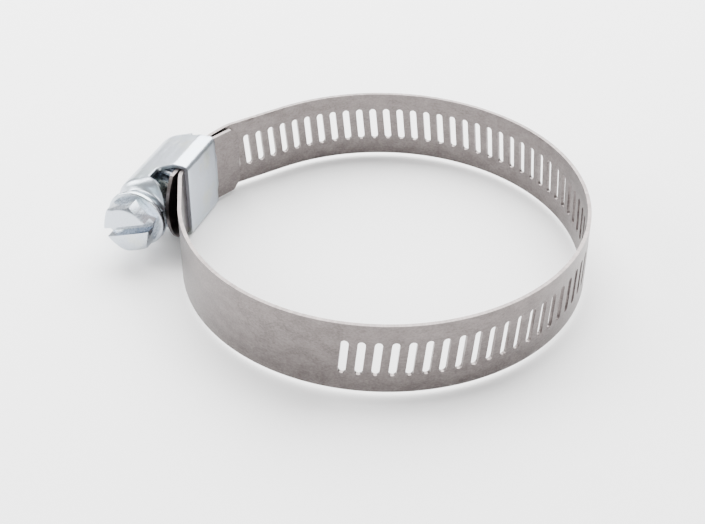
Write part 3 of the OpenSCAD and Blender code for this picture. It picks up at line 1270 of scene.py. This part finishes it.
@dataclass
class WormScrew:
    """The slotted hexagon-head screw with its collar, neck and thread."""

    sizes: ClampSizes
    ring: int = 72
    turns: float = 4.25
    back: float = 2.25
    ridge_top: float = 0.3
    ridge_foot: float = 0.62
    thread_steps: int = 48
    hex_turn: float = 20.0
    crown_in: float = 0.45
    crown_out: float = 1.15
    crown_fall: float = 0.95
    head_round: float = 0.14
    collar_edge: float = 0.28

    def _turned(self, name: str, profile: Sequence[Point]) -> bpy.types.Object:
        """Turns a closed profile of radius and place along the screw into a solid.

        Args:
            name: its name.
            profile: the profile's points.

        Returns:
            The solid.
        """
        sheet = Sheet()
        for (r0, y0), (r1, y1) in zip(profile, profile[1:]):
            for step in range(self.ring):
                a0, a1 = (math.tau * (step + k) / self.ring for k in (0, 1))
                sheet.face(
                    sheet.at(r0 * math.cos(a0), y0, r0 * math.sin(a0)),
                    sheet.at(r0 * math.cos(a1), y0, r0 * math.sin(a1)),
                    sheet.at(r1 * math.cos(a1), y1, r1 * math.sin(a1)),
                    sheet.at(r1 * math.cos(a0), y1, r1 * math.sin(a0)),
                )
        return add_piece(name, sheet.mesh(name, self._on_axis))

    def _on_axis(self, spot: tuple[float, ...]) -> Vector:
        """Moves a point from the screw's own axis to the clamp's frame."""
        return Vector((spot[0] - self.sizes.screw_u, spot[1], spot[2]))

    def _shank(self) -> bpy.types.Object:
        """The collar, neck and core.

        Returns:
            The shank.
        """
        z = self.sizes
        y0, y1 = z.collar_y, z.collar_y + z.collar_t
        edge = self.collar_edge
        profile = [(0.0, y0 - 0.02), (z.collar_r - 1.2, y0 - 0.02), (z.collar_r - edge, y0 + 0.04)]
        profile += [
            (z.collar_r - edge + edge * math.sin(a), y0 + 0.04 + edge * (1 - math.cos(a)))
            for a in (math.pi / 2 * k / 5 for k in range(1, 6))
        ]
        profile += [(z.collar_r, y1 - 0.2), (z.collar_r - 0.06, y1 - 0.06), (z.collar_r - 0.2, y1)]
        profile += [(z.neck_r + 0.1, y1), (z.neck_r, y1 + 0.1), (z.neck_r, z.bridge_y - 0.9)]
        tip = z.hood_y + z.sheet_t / 2
        profile += [(z.core_r, z.bridge_y - 0.3), (z.core_r, tip - 0.5), (z.core_r - 0.15, tip - 0.15)]
        profile += [(z.core_r - 0.5, tip), (0.0, tip)]
        return self._turned("screw_shank", profile)

    def _thread(self) -> bpy.types.Object:
        """The helical ridge, sunk a little into the core.

        Returns:
            The ridge.
        """
        z, sheet = self.sizes, Sheet()
        count = round(self.turns * self.thread_steps)
        start = z.first_y - 2.5 * z.pitch

        def ring(step: int) -> list[int]:
            """The ridge's outline at one step of the helix."""
            q = step / self.thread_steps
            angle = math.tau * (q - self.back)
            along = start + (q - self.back) * z.pitch
            rise = z.thread_h * max(0.05, min(1.0, q / 0.3, (self.turns - q) / 0.3))
            top, soft = self.ridge_top, 0.1
            points = [
                (z.core_r - 0.1, -self.ridge_foot - 0.05),
                (z.core_r + 0.05, -self.ridge_foot),
                (z.core_r + rise - soft, -top - 0.06),
                (z.core_r + rise, -top + soft),
                (z.core_r + rise, top - soft),
                (z.core_r + rise - soft, top + 0.06),
                (z.core_r + 0.05, self.ridge_foot),
                (z.core_r - 0.1, self.ridge_foot + 0.05),
            ]
            # the screw's +Y is the helix's axis, and its angle runs from +X towards -Z
            return [sheet.at(r * math.cos(angle), along + y, -r * math.sin(angle)) for r, y in points]

        rings = [ring(step) for step in range(count + 1)]
        for one, two in zip(rings, rings[1:]):
            for index in range(len(one)):
                after = (index + 1) % len(one)
                sheet.face(one[index], two[index], two[after], one[after])
        sheet.face(*rings[0])
        sheet.face(*reversed(rings[-1]))
        return add_piece("screw_thread", sheet.mesh("screw_thread", self._on_axis))

    def _head(self) -> bpy.types.Object:
        """The hexagon with its crowned face and driver slot.

        Returns:
            The head.
        """
        z = self.sizes
        half, crown_r = z.hex_af / 2, z.hex_af / math.sqrt(3)
        shape = bmesh.new()
        turn = math.radians(self.hex_turn)
        angles = [turn + math.tau * k / 6 for k in range(6)]
        rim = [(crown_r * math.cos(angle), crown_r * math.sin(angle)) for angle in angles]
        low, high = z.head_y, z.collar_y + 0.1
        front = [shape.verts.new(self._on_axis((x, low, w)) * MM) for x, w in rim]
        back = [shape.verts.new(self._on_axis((x, high, w)) * MM) for x, w in rim]
        shape.faces.new(front)
        shape.faces.new(list(reversed(back)))
        for k in range(6):
            shape.faces.new([front[k], back[k], back[(k + 1) % 6], front[(k + 1) % 6]])
        bmesh.ops.recalc_face_normals(shape, faces=shape.faces)
        mesh = bpy.data.meshes.new("screw_head")
        shape.to_mesh(mesh)
        shape.free()
        head = add_piece("screw_head", mesh)
        edge = half - self.crown_in
        profile = [(0.0, low - 0.001), (edge * 0.7, low)]
        profile += [
            (edge + self.crown_out * math.sin(a), low + 0.06 + self.crown_fall * (1 - math.cos(a)))
            for a in (math.pi / 2 * k / 8 for k in range(9))
        ]
        profile += [(crown_r + 0.3, low + 1.3), (crown_r + 0.3, high), (0.0, high)]
        crown = self._turned("head_crown", profile)
        self._boolean(head, crown, "INTERSECT")
        bpy.data.objects.remove(crown)
        slot = bmesh.new()
        bmesh.ops.create_cube(slot, size=1.0)
        size = (3 * z.hex_af, 2 * z.drive_d, z.drive_w)
        middle = self._on_axis((0.0, low, 0.0))
        place = Matrix.Translation(middle * MM) @ Matrix.Rotation(math.radians(-z.drive_turn), 4, "Y")
        place = place @ Matrix.Diagonal((*[v * MM for v in size], 1.0))
        slot.transform(place)
        cutter_mesh = bpy.data.meshes.new("slot_cutter")
        slot.to_mesh(cutter_mesh)
        slot.free()
        cutter = add_piece("slot_cutter", cutter_mesh)
        self._boolean(head, cutter, "DIFFERENCE")
        bpy.data.objects.remove(cutter)
        round_edges(head, self.head_round, 3, 24)
        return settle(head)

    @staticmethod
    def _boolean(thing: bpy.types.Object, other: bpy.types.Object, operation: str) -> None:
        """Cuts a piece with another, or keeps what they share.

        Args:
            thing: the piece.
            other: the cutter.
            operation: Blender's name of the operation.
        """
        modifier = thing.modifiers.new("cut", "BOOLEAN")
        modifier.object = other
        modifier.operation = operation
        modifier.solver = "MANIFOLD"
        settle(thing)

    def build(self, finish: bpy.types.Material) -> list[bpy.types.Object]:
        """Builds the screw's pieces.

        Args:
            finish: their material.

        Returns:
            The shank, the thread and the head.
        """
        parts = [self._shank(), self._thread(), self._head()]
        for piece in parts:
            piece.data.materials.clear()
            piece.data.materials.append(finish)
            smooth(piece, 32)
            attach(piece, "worm_screw")
        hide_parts("worm_screw")
        return parts


# ---- The studio ----


@dataclass
class Studio:
    """Floor, lights and camera."""

    floor_z: float
    azimuth: float = 19.0
    elevation: float = 35.4
    distance: float = 0.2303
    roll: float = 1.29
    lens: float = 69.8
    shift: Point = (-0.045, -0.05)
    aim: tuple[float, float, float] = (-0.01, 0.0, 0.0)
    room_light: float = 0.6

    def floor(self, finish: bpy.types.Material) -> None:
        """Lays the floor.

        Args:
            finish: its material.
        """
        mesh = bpy.data.meshes.new("floor")
        reach = 3.0
        corners = [(-reach, -reach), (reach, -reach), (reach, reach), (-reach, reach)]
        mesh.from_pydata([(x, y, self.floor_z) for x, y in corners], [], [(0, 1, 2, 3)])
        mesh.materials.append(finish)
        add_piece("floor", mesh)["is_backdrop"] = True

    def lamp(self, name: str, place: Sequence[float], size: Point, power: float) -> None:
        """Hangs one soft box.

        Args:
            name: its name.
            place: where it hangs, in metres.
            size: its width and height.
            power: in watts.
        """
        light = bpy.data.lights.new(name, "AREA")
        light.shape = "RECTANGLE"
        light.size, light.size_y = size
        light.energy = power
        thing = bpy.data.objects.new(name, light)
        thing.location = place
        thing.rotation_euler = (Vector(self.aim) - Vector(place)).to_track_quat("-Z", "Y").to_euler()
        bpy.context.scene.collection.objects.link(thing)

    def lights(self) -> None:
        """Hangs the lights and sets the room's tone."""
        world = bpy.data.worlds.new("room")
        world.use_nodes = True
        world.node_tree.nodes["Background"].inputs["Color"].default_value = (1.0, 1.0, 1.0, 1.0)
        world.node_tree.nodes["Background"].inputs["Strength"].default_value = self.room_light
        bpy.context.scene.world = world
        self.lamp("top_box", place=(-0.1, 0.34, 0.4), size=(0.7, 0.6), power=17.0)
        self.lamp("left_box", place=(-0.42, -0.12, 0.22), size=(0.25, 0.3), power=3.5)
        self.lamp("front_card", place=(0.25, -0.4, 0.25), size=(0.3, 0.2), power=2.0)

    def camera(self) -> None:
        """Places the camera."""
        azimuth, elevation = math.radians(self.azimuth), math.radians(self.elevation)
        flat = math.cos(elevation)
        back = Vector((math.sin(azimuth) * flat, -math.cos(azimuth) * flat, math.sin(elevation)))
        data = bpy.data.cameras.new("camera")
        data.lens = self.lens
        data.shift_x, data.shift_y = self.shift
        data.clip_start = 0.01
        thing = bpy.data.objects.new("camera", data)
        turn = back.to_track_quat("Z", "Y").to_matrix().to_4x4()
        roll = Matrix.Rotation(math.radians(self.roll), 4, "Z")
        thing.matrix_world = Matrix.Translation(back * self.distance) @ turn @ roll
        bpy.context.scene.collection.objects.link(thing)
        bpy.context.scene.camera = thing


def main() -> None:
    """Builds the looks round the frame."""
    logging.basicConfig(level=logging.INFO)
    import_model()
    cad_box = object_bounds()
    sizes = ClampSizes()
    band = Band(sizes, BandRoute(sizes))
    steel = RolledStainless().make()
    strips = band.part(band.whole(steel))
    LOG.info("band in %d strips", len(strips))
    shell = Housing(sizes).build(BrightZinc("zinc_sheet").make())
    LOG.info("housing %s", shell.name)
    screw = WormScrew(sizes).build(BrightZinc("zinc_screw", roughness=0.26, ripple=0.3).make())
    LOG.info("screw in %d pieces", len(screw))
    studio = Studio(floor_z=cad_box[0][2])
    studio.floor(PalePaper().make())
    studio.lights()
    studio.camera()


if __name__ == "__main__":
    main()
